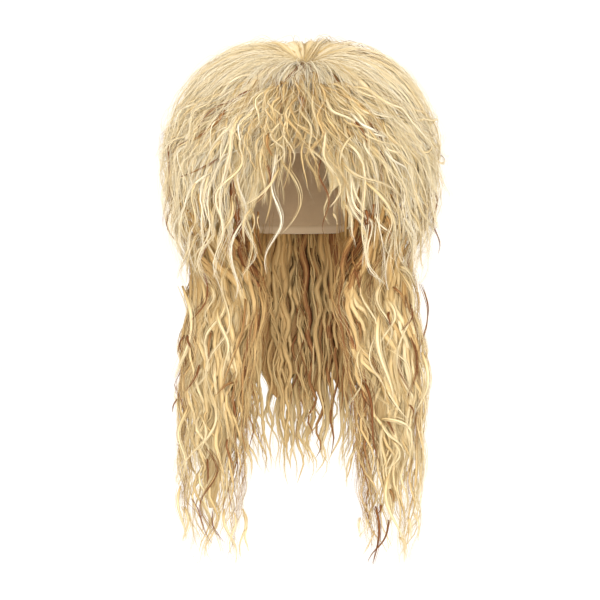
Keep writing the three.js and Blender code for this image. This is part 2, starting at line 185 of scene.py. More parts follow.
def puff_point(d, lift):
    """The puff's point in the direction d from its middle: square on top, dipped at the whorl."""
    level, up = np.hypot(d[..., 0], d[..., 1]), np.maximum(d[..., 2], 0)
    square = np.where(up > 0, (level ** TOP_POWER + up ** TOP_POWER) ** (-1 / TOP_POWER), 1)
    away = np.degrees(np.arccos(np.clip((d * WHORL).sum(-1), -1, 1))) / WHORL_REACH
    dip = 1 - WHORL_DIP * np.exp(-away * away)
    return PUFF_CENTRE + d * reach(d, lift) * (square * dip)[..., None]


def puff_out(d):
    return unit(d / reach(d, 0.0))


def puff_direction(azimuth, below):
    """The direction of the puff's point that lies so far below the crown of the head."""
    z = PUFF_LEVEL - np.asarray(below, float)
    share = np.minimum(np.abs(z) / np.where(z > 0, PUFF_UP, PUFF_FALL), 0.98)
    power = np.where(z > 0, TOP_POWER, 2.0)
    elevation = np.degrees(np.arctan2(share, (1 - share ** power) ** (1 / power)))
    return direction(azimuth, np.sign(z) * elevation)


def arc_elevation(azimuth):
    return ARC_MIDDLE - ARC_DROP * np.minimum(np.abs(azimuth) / ARC_SIDE, 1.05) ** 2


def row_at(rows, down):
    """A table's columns at the place down, which its first column gives."""
    return [np.interp(down, rows[:, 0], rows[:, k]) for k in range(1, rows.shape[1])]


def tress_point(side, down, angle, level):
    """A point of a tress: angle goes round it from the front, outwards positive, in radians."""
    out, width, forward, depth = row_at(TRESS_ROWS, down)
    x = PUFF_SHIFT + side * (out * (HEAD_WIDTH / 2 + TRESS_OFFSET)
                             + level * width * TRESS_WIDTH / 2 * np.sin(angle))
    y = -forward * TRESS_FORWARD - level * depth * TRESS_DEPTH / 2 * np.cos(angle)
    z = -(TRESS_TOP + TRESS_LENGTH * down)
    return np.stack(np.broadcast_arrays(x, y, z), -1)


def mane_point(down, across, skin, level=1.0):
    """A point of the mane: across is -1 to 1, skin 1 on its outer face and -1 on the inner. It
    keeps a gap behind the cap's wall down to just below the cap."""
    width, back, depth, wrap = row_at(MANE_ROWS, down)
    bulge = np.sqrt(np.maximum(0, 1 - across ** 4))
    middle = HEAD_DEPTH / 2 + back * MANE_BACK - wrap * MANE_WIDTH * across ** 2
    x = PUFF_SHIFT + width * MANE_WIDTH / 2 * across * level
    y = middle + skin * depth * MANE_DEPTH / 2 * bulge * level
    z = -(MANE_TOP + MANE_LENGTH * down)
    gap, below_cap, fade = 4, 2, 20
    wall = np.sqrt(np.maximum(0, 1 - ((z + HEAD_RISE) / HEAD_FALL) ** 2 - (x / HEAD_WIDTH * 2) ** 2))
    wall = wall * (HEAD_DEPTH / 2 + CAP_WALL) + gap
    y = y + np.maximum(wall - y, 0) * (1 - smooth((-z - CAP_DEPTH - below_cap) / fade))
    return np.stack(np.broadcast_arrays(x, y, z), -1)


def joined(z):
    """How far hair at the height z has left the puff for the tress under it."""
    return smooth((-z - JOIN_TOP) / JOIN_LENGTH)


def front_depth(x, z):
    """The y of the hair's front at x and z: the puff above, and the tresses below it."""
    share = np.minimum(np.abs(z + PUFF_LEVEL) / np.where(z > -PUFF_LEVEL, PUFF_UP, PUFF_FALL), 1)
    level = (1 - share ** TOP_POWER) ** (1 / TOP_POWER)
    puff = -PUFF_FRONT * np.sqrt(np.maximum(level ** 2 - ((x - PUFF_SHIFT) / PUFF_SIDE) ** 2, 0.02))
    out, width, forward, depth = row_at(TRESS_ROWS, (-z - TRESS_TOP) / TRESS_LENGTH)
    off = (np.abs(x - PUFF_SHIFT) - out * (HEAD_WIDTH / 2 + TRESS_OFFSET)) / (width * TRESS_WIDTH / 2)
    tress = -forward * TRESS_FORWARD - depth * TRESS_DEPTH / 2 * np.sqrt(np.maximum(1 - off ** 2, 0.02))
    return puff + (tress - puff) * joined(z)


# Meshes from arrays

def tube_faces(count, rows, columns):
    """The loops of closed tubes and where each face starts: quads between the rings of points,
    and one face over each end."""
    i, j = np.meshgrid(np.arange(rows - 1), np.arange(columns), indexing="ij")
    right = (j + 1) % columns
    quads = np.stack([i * columns + j, i * columns + right,
                      (i + 1) * columns + right, (i + 1) * columns + j], -1)
    ends = np.stack([np.arange(columns)[::-1], (rows - 1) * columns + np.arange(columns)])
    first = (np.arange(count) * rows * columns)[:, None, None]
    quads = (quads.reshape(-1, 4) + first).reshape(-1, 4)
    ends = (ends + first).reshape(-1, columns)
    loops = np.concatenate([quads.ravel(), ends.ravel()])
    starts = np.concatenate([np.arange(len(quads)) * 4,
                             len(quads) * 4 + np.arange(len(ends)) * columns])
    return loops, starts


def new_object(name, rings, attributes, material, nodes):
    """Makes a piece of closed tubes from their points, by tube, ring and place in the ring."""
    loops, starts = tube_faces(*rings.shape[:3])
    mesh = bpy.data.meshes.new(name)
    mesh.vertices.add(rings.size // 3)
    mesh.vertices.foreach_set("co", (rings * MM).astype(np.float32).ravel())
    mesh.loops.add(len(loops))
    mesh.loops.foreach_set("vertex_index", loops.astype(np.int32))
    mesh.polygons.add(len(starts))
    mesh.polygons.foreach_set("loop_start", starts.astype(np.int32))
    mesh.update(calc_edges=True)
    mesh.polygons.foreach_set("use_smooth", np.ones(len(starts), bool))
    for key, values in attributes.items():
        if key == "OFBake":
            layer = mesh.uv_layers.new(name=key, do_init=False)
            layer.uv.foreach_set("vector", values[loops].astype(np.float32).ravel())
        else:
            layer = mesh.attributes.new(key, "FLOAT", "POINT")
            layer.data.foreach_set("value", values.astype(np.float32).ravel())
    mesh.materials.append(material)
    mesh.validate()
    piece = bpy.data.objects.new(name, mesh)
    bpy.context.collection.objects.link(piece)
    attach(piece, "root")
    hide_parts(*nodes)


# The sections of a strand and of a lock, across and out, as shares of half the width
ROUND = np.array([(-1.0, -0.28), (1.0, -0.28), (0.0, 0.72)])
LENS = np.array([(-1.0, -0.06), (0.0, -0.3), (1.0, -0.06), (0.0, 0.4)])


class Hair:
    """Hair gathered for one piece: paths with their outward directions, widths and tones."""

    def __init__(self, points, section=ROUND):
        self.t = np.linspace(0, 1, points)
        self.section = section
        self.taper = 0.55 if section is ROUND else 0.8
        self.paths, self.outs, self.widths, self.tones = [], [], [], []

    def add(self, path, out, width, tone):
        root = 0.4 + 0.6 * smooth(self.t / 0.18)
        tip = 0.03 + 0.97 * (1 - self.t) ** self.taper
        self.paths.append(path)
        self.outs.append(np.broadcast_to(out, path.shape))
        self.widths.append(np.asarray(width)[:, None] * (root * tip))
        self.tones.append(np.broadcast_to(tone, path.shape[:1]))

    def build(self, name, material, nodes):
        path = np.concatenate(self.paths)
        out = np.concatenate(self.outs)
        width = np.concatenate(self.widths)
        tone = np.concatenate(self.tones)
        count, n = width.shape
        sides = len(self.section)
        along = unit(np.gradient(path, axis=1))
        side = unit(np.cross(out, along))
        up = np.cross(along, side)
        half = width[:, :, None] / 2
        ring = (path[:, :, None, :]
                + (half * self.section[:, 0])[..., None] * side[:, :, None, :]
                + (half * self.section[:, 1])[..., None] * up[:, :, None, :])
        step = np.linalg.norm(np.diff(path, axis=1), axis=-1)
        run = np.concatenate([np.zeros((count, 1)), np.cumsum(step, axis=1)], axis=1)
        share = np.broadcast_to(self.t, (count, n))

        def spread(values):
            return np.repeat(values[:, :, None], sides, axis=2).ravel()

        # The OFBake map: a column for each strand, in the order of their tones
        order = np.argsort(np.argsort(tone, kind="stable"), kind="stable")
        column = (order[:, None, None] + 0.1 + 0.8 * (np.arange(sides) / (sides - 1))) / count
        column = np.broadcast_to(column, (count, n, sides)).ravel()
        rows = spread(0.01 + 0.98 * share)
        attributes = {
            "tone": spread(np.broadcast_to(tone[:, None], (count, n))),
            "share": spread(share),
            "run": spread(run),
            "across": (self.section[:, 0] * width[:, :, None]).ravel(),
            "OFBake": np.stack([column, rows], -1),
        }
        new_object(name, ring, attributes, material, nodes)


# Materials

def new_material(name, roughness):
    material = bpy.data.materials.new(name)
    material.use_nodes = True
    shader = material.node_tree.nodes["Principled BSDF"]
    shader.inputs["Roughness"].default_value = roughness
    return material, material.node_tree, shader


def add_bump(tree, shader, height, strength, distance):
    bump = tree.nodes.new("ShaderNodeBump")
    bump.inputs["Strength"].default_value = strength
    bump.inputs["Distance"].default_value = distance
    tree.links.new(height, bump.inputs["Height"])
    tree.links.new(bump.outputs[0], shader.inputs["Normal"])


def attribute(tree, name):
    node = tree.nodes.new("ShaderNodeAttribute")
    node.attribute_name = name
    return node.outputs["Fac"]


def math_node(tree, operation, a, b=0.0):
    node = tree.nodes.new("ShaderNodeMath")
    node.operation = operation
    for socket, value in zip(node.inputs, (a, b)):
        if isinstance(value, (int, float)):
            socket.default_value = value
        else:
            tree.links.new(value, socket)
    return node.outputs[0]


def ramp_node(tree, factor, stops):
    node = tree.nodes.new("ShaderNodeValToRGB")
    ramp = node.color_ramp
    while len(ramp.elements) < len(stops):
        ramp.elements.new(0.5)
    for element, (place, colour) in zip(ramp.elements, stops):
        element.position = place
        element.color = (*colour, 1.0)
    tree.links.new(factor, node.inputs[0])
    return node.outputs[0]


def mix_node(tree, mode, factor, a, b):
    node = tree.nodes.new("ShaderNodeMix")
    node.data_type = "RGBA"
    node.blend_type = mode
    for socket, value in ((node.inputs[0], factor), (node.inputs[6], a), (node.inputs[7], b)):
        if isinstance(value, float):
            socket.default_value = value
        elif isinstance(value, tuple):
            socket.default_value = (*value, 1.0)
        else:
            tree.links.new(value, socket)
    return node.outputs[2]


BROWN = (0.2, 0.08, 0.03)
GOLD = (0.42, 0.25, 0.095)
HONEY = (0.59, 0.43, 0.205)
PALE = (0.725, 0.6, 0.365)
WHEAT = (0.72, 0.605, 0.385)
CREAM = (0.8, 0.735, 0.585)


def hair_material(slot, root_colour, palest, paler_tips):
    """Fibres: each strand's tone picks its colour, with darker roots (partly the hair's own colour,
    partly painted shade), paler tips and fine lines along it, which also give the bump."""
    across_scale, along_scale, strand_shift = 0.5, 0.02, 91.0
    material, tree, shader = new_material(slot, 0.6)
    material["slot"] = slot
    shader.inputs["Specular IOR Level"].default_value = 0.1
    tone, share, run, across = (attribute(tree, k) for k in ("tone", "share", "run", "across"))
    place = tree.nodes.new("ShaderNodeCombineXYZ")
    axes = (across, across_scale), (run, along_scale), (tone, strand_shift)
    for socket, (value, scale) in zip(place.inputs, axes):
        tree.links.new(math_node(tree, "MULTIPLY", value, scale), socket)
    lines = tree.nodes.new("ShaderNodeTexNoise")
    for key, value in (("Scale", 1.0), ("Detail", 4.0), ("Roughness", 0.6)):
        lines.inputs[key].default_value = value
    tree.links.new(place.outputs[0], lines.inputs["Vector"])
    fine = math_node(tree, "SUBTRACT", lines.outputs["Fac"], 0.5)
    paler = math_node(tree, "ADD", tone, math_node(tree, "MULTIPLY", fine, 0.7))
    bleached = math_node(tree, "MULTIPLY", math_node(tree, "GREATER_THAN", tone, 0.2), paler_tips)
    paler = math_node(tree, "ADD", paler, math_node(tree, "MULTIPLY", share, bleached))
    colour = ramp_node(tree, paler, [
        (0.0, BROWN), (0.11, BROWN), (0.22, GOLD), (0.5, HONEY), (0.74, PALE), (1.0, palest)])
    # Darker towards the root: partly the hair's own colour, partly painted shade where roots lie under
    # the hair over them.
    near_root = ramp_node(tree, share, [
        (0.0, root_colour), (0.12, tuple(0.5 + 0.5 * c for c in root_colour)), (0.3, (1, 1, 1))])
    colour = mix_node(tree, "MULTIPLY", 1.0, colour, near_root)
    tree.links.new(colour, shader.inputs["Base Color"])
    add_bump(tree, shader, lines.outputs["Fac"], 0.4, 0.0005)
    return material


crown_hair = hair_material("crown_hair", (0.78, 0.68, 0.5), CREAM, 0.1)
length_hair = hair_material("length_hair", (0.8, 0.68, 0.48), WHEAT, 0.24)


def net_material():
    """A knitted net: two sets of slanting threads, and a plain hem."""
    thread_gap, slope = 2.4, 0.9
    material, tree, shader = new_material("cap_net", 0.85)
    material["slot"] = "cap_net"
    shader.inputs["Sheen Weight"].default_value = 0.2
    around, down = attribute(tree, "across"), attribute(tree, "run")

    def threads(slant):
        turned = math_node(tree, "ADD", around, math_node(tree, "MULTIPLY", down, slant))
        wave = math_node(tree, "SINE", math_node(tree, "MULTIPLY", turned, 2 * math.pi / thread_gap))
        return math_node(tree, "ABSOLUTE", wave)

    weave = math_node(tree, "MAXIMUM", threads(slope), threads(-slope))
    colour = ramp_node(tree, weave, [
        (0.0, (0.16, 0.095, 0.045)), (0.6, (0.34, 0.22, 0.115)), (1.0, (0.56, 0.4, 0.23))])
    hem = attribute(tree, "tone")
    colour = mix_node(tree, "MIX", hem, colour, (0.6, 0.45, 0.28))
    tree.links.new(colour, shader.inputs["Base Color"])
    add_bump(tree, shader, weave, 0.8, 0.0006)
    return material


cap_net = net_material()


# The cap

def spline_through(rows, steps):
    """A Catmull-Rom curve through the rows, as three.js draws it."""
    p = np.array(rows)
    t = np.linspace(0, len(p) - 1, steps)
    i = np.minimum(t.astype(int), len(p) - 2)
    w = (t - i)[:, None]
    a, b, c, d = (p[np.clip(i + k, 0, len(p) - 1)] for k in (-1, 0, 1, 2))
    v0, v1 = (c - a) / 2, (d - b) / 2
    return ((2 * b - 2 * c + v0 + v1) * w ** 3 + (-3 * b + 3 * c - 2 * v0 - v1) * w ** 2
            + v0 * w + b)


def head_point(azimuth, z, lift):
    """A point of the head's form at an azimuth and a height, with its surface moved out."""
    reach_z = np.where(z > -HEAD_RISE, HEAD_RISE, HEAD_FALL) + lift
    level = np.sqrt(np.clip(1 - ((z + HEAD_RISE) / reach_z) ** 2, 0, 1))
    a = np.radians(azimuth)
    return np.stack(np.broadcast_arrays((HEAD_WIDTH / 2 + lift) * np.sin(a) * level,
                                        -(HEAD_DEPTH / 2 + lift) * np.cos(a) * level, z), -1)


def cap_edge_height(azimuth):
    """The z at which the cap ends, drawn in step by step to where it meets its edge's curve."""
    edge = spline_through(CAP_EDGE, 200)
    z = np.full(azimuth.shape, -0.6 * CAP_DEPTH)
    for _ in range(80):
        along = head_point(azimuth, z, 0.0)[..., 1] / (HEAD_DEPTH / 2)
        z = 0.7 * z + 0.3 * -CAP_DEPTH * np.interp(along, edge[:, 0], edge[:, 1])
    return z


def build_cap():
    columns, rows = 80, 56
    weft_gap, weft_width, weft_rise = 13.0, 1.3, 0.8
    hem_width, hem_blend, hem_rise = 9.0, 2.5, 0.5
    inset, net_radius = 0.5, 88
    azimuth = np.arange(columns) * 360 / columns
    low = cap_edge_height(azimuth)
    depth = -low * np.sin(np.linspace(0.012, 1, rows) * math.pi / 2)[:, None] ** 2
    hem = smooth((depth + hem_width + low) / hem_blend)
    weft = np.exp(-((np.mod(depth, weft_gap) - weft_gap / 2) / weft_width) ** 2) * (1 - hem)
    inner = head_point(azimuth, -depth, 0.0)
    normal = unit(inner - np.array([0, 0, -HEAD_RISE]))
    outer = inner + normal * CAP_WALL
    inner = inner + normal * (inset - weft_rise * weft - hem_rise * hem)[..., None]
    grid = np.concatenate([inner, outer[::-1]])[:, ::-1]
    girth = np.broadcast_to(azimuth * math.pi / 180 * net_radius, depth.shape)

    def both(values):
        return np.concatenate([values, values[::-1]])[:, ::-1].ravel()

    attributes = {"across": both(girth), "run": both(depth), "tone": both(hem)}
    new_object("cap_net", grid[None], attributes, cap_net, ["wig_cap"])


build_cap()


# Under-forms: the mass of the hair that shows between its locks, in tones darker than the hair over it:
# painted shade of the gaps

def under_form(name, grid, tone, material, nodes):
    rows, columns = grid.shape[:2]
    step = np.linalg.norm(np.diff(grid, axis=0), axis=-1)
    run = np.concatenate([np.zeros((1, columns)), np.cumsum(step, axis=0)])
    width = np.linalg.norm(np.diff(grid, axis=1, append=grid[:, :1]), axis=-1).max(0)
    across = np.cumsum(width) + 5 * np.sin(2 * math.pi * run / UNDER_WAVE)
    attributes = {"tone": np.broadcast_to(tone, (rows, columns)).ravel(), "run": run.ravel(),
                  "share": np.full(rows * columns, 0.6), "across": across.ravel()}
    new_object(name, grid[None], attributes, material, nodes)


def build_puff_under():
    """A shell under the crown, fringe and side layers, arched over the face and closed at its hem
    against the cap. Angles round it are in degrees from the front."""
    columns, outer_rows, inner_rows = 120, 44, 16
    top_lift, hem_lift, arch_lift, hem_depth = -11.0, -42.0, 14.0, 138.0
    arch_turn, hem_turn, hem_blend = 27, 33, 14
    scallop, scallops = 5, 17
    inner_top, inner_gap, hem_rise = 3.0, 1.2, 6.0
    azimuth = np.arange(columns) * 360 / columns
    turn = (azimuth + 180) % 360 - 180
    arch = np.clip(np.abs(turn) / arch_turn, 0, 1)
    arch = FACE_ARCH_TOP - arch_lift + FACE_HALF_WIDTH * (1 - np.sqrt(1 - arch ** 2))
    hem = arch + (hem_depth - arch) * smooth((np.abs(turn) - hem_turn) / hem_blend)
    t = np.linspace(0.01, 1, outer_rows)[:, None]
    hem = hem + scallop * np.sin(np.radians(azimuth * scallops))
    low = puff_direction(azimuth, hem)
    low = np.degrees(np.arctan2(low[:, 2], np.hypot(low[:, 0], low[:, 1])))
    lift = top_lift + (hem_lift - top_lift) * smooth((t - 0.3) / 0.5)
    outer = puff_point(direction(azimuth, 90 + (low - 90) * t), lift)
    inner_z = -hem + (hem - inner_top) * np.linspace(0, 1, inner_rows)[:, None] ** 0.7
    inner = head_point(azimuth, inner_z, CAP_WALL + inner_gap)
    below = outer[-1] * 0.5 + inner[0] * 0.5 + np.array([0, 0, hem_rise])
    grid = np.concatenate([outer, below[None], inner])
    under_form("crown_under", grid[:, ::-1], 0.64, crown_hair,
               ["crown_layers", "fringe", "side_layers_right", "side_layers_left"])


def build_tress_under(side, name):
    columns, rows = 60, 72
    reach_down, size = 0.84, 0.76
    angle = np.arange(columns) * 2 * math.pi / columns
    down = np.linspace(0, reach_down, rows)[:, None]
    z = TRESS_TOP + TRESS_LENGTH * down
    folds = 1 + 0.08 * np.sin(9 * angle + 1.8 * np.sin(2 * math.pi * z / UNDER_WAVE))
    level = size * folds * (1 - 0.9 * (down / reach_down) ** 3)
    grid = tress_point(side, down, angle, level)
    # Darker round the tress's inner side, by the neck, and lighter round its outer side: painted shade.
    tone = 0.34 + 0.1 * np.sin(angle)
    if side > 0:
        grid, tone = grid[:, ::-1], tone[::-1]
    under_form(f"{name}_under", grid, tone, length_hair, [name])


def build_mane_under():
    half, rows = 30, 50
    reach_down, size, side_rise = 0.66, 0.64, 0.12
    sweep = np.cos(np.linspace(0, math.pi, half, endpoint=False))
    share = np.linspace(0, 1, rows)[:, None]
    thick = 0.6 * (1 - share ** 3) + 0.02
    ragged = 1 + 0.08 * np.sin(11 * sweep) - side_rise * sweep ** 2
    down = reach_down * share * ragged
    inner_down = reach_down * share * (2 * (1 - side_rise * sweep ** 2) - ragged)
    grid = np.concatenate([mane_point(down, sweep, thick, size),
                           mane_point(inner_down, -sweep, -thick, size)], axis=1)
    # A dark golden-brown tone, below the mane's hair: painted shade of the hair behind the neck.
    under_form("mane_under", grid[:, ::-1], 0.2, length_hair, ["back_mane"])


build_puff_under()
for side, name in SIDES:
    build_tress_under(side, f"tress_{name}")
build_mane_under()


# How hair lies. A clump's members share its wave and close up towards its tip.

# Azimuths on the side of the puff, and the angles round the tress that hair from there goes to
FIRST_AZIMUTH, AZIMUTH_RANGE = 24, 76
FIRST_ANGLE, ANGLE_RANGE = -80, 180

# How far hair of the long back strays to a side, in halves of its width
MANE_DRIFT = 0.05


class Clumps:
    """The members of some clumps, with a random source for what a clump or a member has."""

    def __init__(self, hair, seed, clumps, members):
        self.t = hair.t
        self.rng = np.random.default_rng(seed)
        self.clumps = clumps
        self.member = np.repeat(np.arange(clumps), members)
        self.count = len(self.member)
        self.first = np.arange(clumps) * members

    def each(self, low, high):
        return self.rng.uniform(low, high, self.clumps)[self.member]

    def spread(self, low, high):
        """One value for each clump, evenly from low to high and in no order."""
        places = (np.arange(self.clumps) + self.rng.uniform(0, 1, self.clumps)) / self.clumps
        return (low + (high - low) * places)[self.rng.permutation(self.clumps)][self.member]

    def waves(self, run, beside, amplitude, wavelength, start, full):
        """Sideways and outward swing along the clump. Clumps at about the same place beside each
        other swing together, by how far they have run from where all the hair comes from."""
        size = self.each(*amplitude)[:, None] * smooth((self.t - start) / (full - start))
        phase = 1.9 * np.sin(beside / 13) + 1.3 * np.sin(beside / 7.3 + 1) + self.each(-0.6, 0.6)
        phase = phase[:, None]
        turn = 2 * math.pi * run / self.each(*wavelength)[:, None] + phase
        turn = turn + self.each(0.2, 0.6)[:, None] * np.sin(turn / 2.3 + 1.7 * phase)
        size = size * (0.75 + 0.35 * np.sin(run / 41 + 2.3 * phase))
        return size * np.sin(turn), 0.6 * size * np.cos(turn + 0.6)

    def bend(self, size):
        """A slow bend to one side or the other."""
        most = self.each(-size, size) + self.each(-size, size)
        return most[:, None] * np.sin(math.pi * self.t * self.each(0.7, 1.7)[:, None])

    def frizz(self, length, size):
        """Each member's own small wander."""
        total = np.zeros((2, self.count, len(self.t)))
        for wavelength, share in ((90.0, 1.0), (31.0, 0.45), (15.0, 0.2)):
            for k in range(2):
                phase = self.rng.uniform(0, 2 * math.pi, (self.count, 1))
                pace = self.rng.uniform(0.8, 1.25, (self.count, 1))
                run = self.t * length[:, None] * pace
                total[k] += share * np.sin(2 * math.pi * run / wavelength + phase)
        return total * size * smooth(self.t / 0.25)

    def scatter(self, size, tighten):
        """Each member's place beside its clump's middle."""
        wide = size * self.each(0.6, 1.4)[:, None]
        return self.rng.normal(0, 1, (2, self.count, 1)) * wide * (1 - tighten * self.t ** 0.7)

    def tones(self, mean, brown):
        clump = self.rng.normal(mean, 0.08, self.clumps)
        clump[self.rng.uniform(size=self.clumps) < brown] = 0.05
        tone = clump[self.member]
        own = self.rng.normal(0, 0.06, self.count)
        return np.clip(np.where(tone > 0.15, np.maximum(tone + own, 0.24), tone + 0.3 * np.abs(own)),
                       0, 1)

    def lay(self, hair, core, path, out, axis, shift, tones, *, width, size, core_width=None,
            tighten=0.5, frizz=1.0, floor=-99.0):
        """Adds the clumps, swung by shift across and outwards, and each one's core lock."""
        def moved(swing, rise):
            return path + swing[..., None] * axis + np.clip(rise, floor, 6)[..., None] * out

        if core:
            k = self.first
            core.add(moved(*shift)[k], out[k], self.rng.uniform(*core_width, len(k)), tones[k])
        length = np.linalg.norm(np.diff(path, axis=1), axis=-1).sum(1)
        offset, wander = self.scatter(size, tighten), self.frizz(length, frizz)
        strands = moved(shift[0] + offset[0] + wander[0], shift[1] + 0.5 * offset[1] + wander[1])
        hair.add(strands, out, self.rng.uniform(*width, self.count), tones)


def puff_hair(hair, seed, azimuths, ends, clumps, members, *, lift, amplitude, tone, core=None,
              arc=None, gather=0.6, begins=(0.05, 0.3), root=-14.0, wavelength=(42, 66),
              flick=(0, 8), sway=8.0, bend=4.0, brown=0.03, **look):
    """Hair over the puff to the heights ends below the crown of the head. It springs from the
    whorl, or from the arc where that is given as degrees above and below it. The look is for lay,
    here and in the other two."""
    look = dict(width=(0.55, 0.95), size=2.4, frizz=0.9, floor=-12) | look
    group = Clumps(hair, seed, clumps, members)
    t = group.t
    azimuth = group.spread(*azimuths)
    end = puff_direction(azimuth + group.each(-sway, sway), group.each(*ends))
    if arc is None:
        start = np.broadcast_to(WHORL, end.shape)
        begin = group.each(*begins)
    else:
        start = direction(gather * azimuth, arc_elevation(gather * azimuth) + group.each(*arc))
        begin = np.zeros(group.count)
    angle = np.arccos(np.clip((start * end).sum(-1), -1, 1))
    at = (begin[:, None] + (1 - begin[:, None]) * t) * angle[:, None]
    axis = unit(np.cross(start, end))
    across = np.cross(axis, start)
    d = np.cos(at)[..., None] * start[:, None, :] + np.sin(at)[..., None] * across[:, None, :]
    layer = group.each(*lift) + group.rng.normal(0, 1.2, group.count)
    height = root + (layer - root)[:, None] * smooth(t / 0.22)
    height = height + group.each(*flick)[:, None] * t ** 3
    path, out = puff_point(d, height), puff_out(d)
    run = WAVE_RADIUS * np.arccos(np.clip((d * WHORL).sum(-1), -1, 1))
    swing, rise = group.waves(run, azimuth, amplitude, wavelength, 0.1, 0.4)
    shift = swing + group.bend(bend), rise
    group.lay(hair, core, path, out, axis[:, None, :], shift, group.tones(tone, brown), **look)


def length_hair_on(hair, seed, side, clumps, members, *, starts, tone, core=None,
                   azimuths=(26, 100), ends=(440, 540), lift=(-10, 0), level=(0.85, 1.0),
                   drift=14.0, angles=None, amplitude=(4, 9), wavelength=(42, 64), brown=0.04,
                   inner_shade=0.3, **look):
    """Hair that leaves the side of the puff and goes down in a tress. Its azimuth on the puff
    also says where it lies round the tress, unless angles does. Heights are below the crown."""
    look = dict(width=(0.55, 1.0), core_width=(3, 6), size=2.6) | look
    group = Clumps(hair, seed + side, clumps, members)
    t = group.t
    azimuth = group.spread(*azimuths)[:, None]
    below = group.each(*starts)[:, None]
    z = -(below + (group.each(*ends)[:, None] - below) * t)
    if angles is None:
        middle = FIRST_ANGLE + ANGLE_RANGE * (azimuth - FIRST_AZIMUTH) / AZIMUTH_RANGE
    else:
        middle = group.spread(*angles)[:, None]
    cycle = group.each(0.5, 1.1)[:, None] * t + group.each(0, 1)[:, None]
    angle = np.radians(middle + drift * np.sin(2 * math.pi * cycle))
    layer = group.each(*lift)[:, None] + 0 * t
    d = puff_direction(side * azimuth + 0 * t, -z)
    puff = puff_point(d, layer)
    down = (-z - TRESS_TOP) / TRESS_LENGTH
    scale = group.each(*level)[:, None] - 0.2 * smooth((down - 0.75) / 0.25)
    tress = tress_point(side, down, angle, scale)
    share = joined(z)[..., None]
    path = puff + (tress - puff) * share
    round_tress = np.stack([side * np.sin(angle), -np.cos(angle), 0 * angle], -1)
    out = unit(puff_out(d) * (1 - share) + round_tress * share)
    axis = unit(np.cross(out, unit(np.gradient(path, axis=1))))
    shift = group.waves(-z, middle[:, 0] * 0.6, amplitude, wavelength, 0.02, 0.15)
    darker = inner_shade * smooth((-middle[:, 0] - 30) / 40)
    tones = np.maximum(group.tones(tone, brown) - darker, 0.02)
    group.lay(hair, core, path, out, axis, shift, tones, **look)


def mane_hair(hair, seed, clumps, members, *, core=None, skin=1.0, starts=(0.02, 0.3),
              ends=(0.78, 1.0), level=(0.8, 1.0), amplitude=(4, 8), wavelength=(46, 66),
              tone=0.48, brown=0.04, **look):
    """Hair of the long back, spread over its outer face, or over the inner one at skin -1."""
    look = dict(width=(0.6, 1.1), core_width=(4, 8), size=3.2) | look
    group = Clumps(hair, seed, clumps, members)
    t = group.t
    across = group.spread(-0.98, 0.98)[:, None]
    begin, finish = group.each(*starts)[:, None], group.each(*ends)[:, None]
    down = begin + (finish - begin) * t
    scale = group.each(*level)[:, None] - 0.12 * smooth((down - 0.8) / 0.2)
    cycle = group.each(0.5, 1.1)[:, None] * t + group.each(0, 1)[:, None]
    across = np.clip(across + MANE_DRIFT * np.sin(2 * math.pi * cycle), -1, 1)
    path = mane_point(down, across, skin, scale)
    out = unit(np.stack([0.7 * across, skin + 0 * across, 0 * across], -1))
    axis = unit(np.cross(out, np.array([0.0, 0.0, -1.0])))
    shift = group.waves(-path[..., 2], across[:, 0] * 60, amplitude, wavelength, 0.02, 0.2)
    group.lay(hair, core, path, out, axis, shift, group.tones(tone, brown), **look)


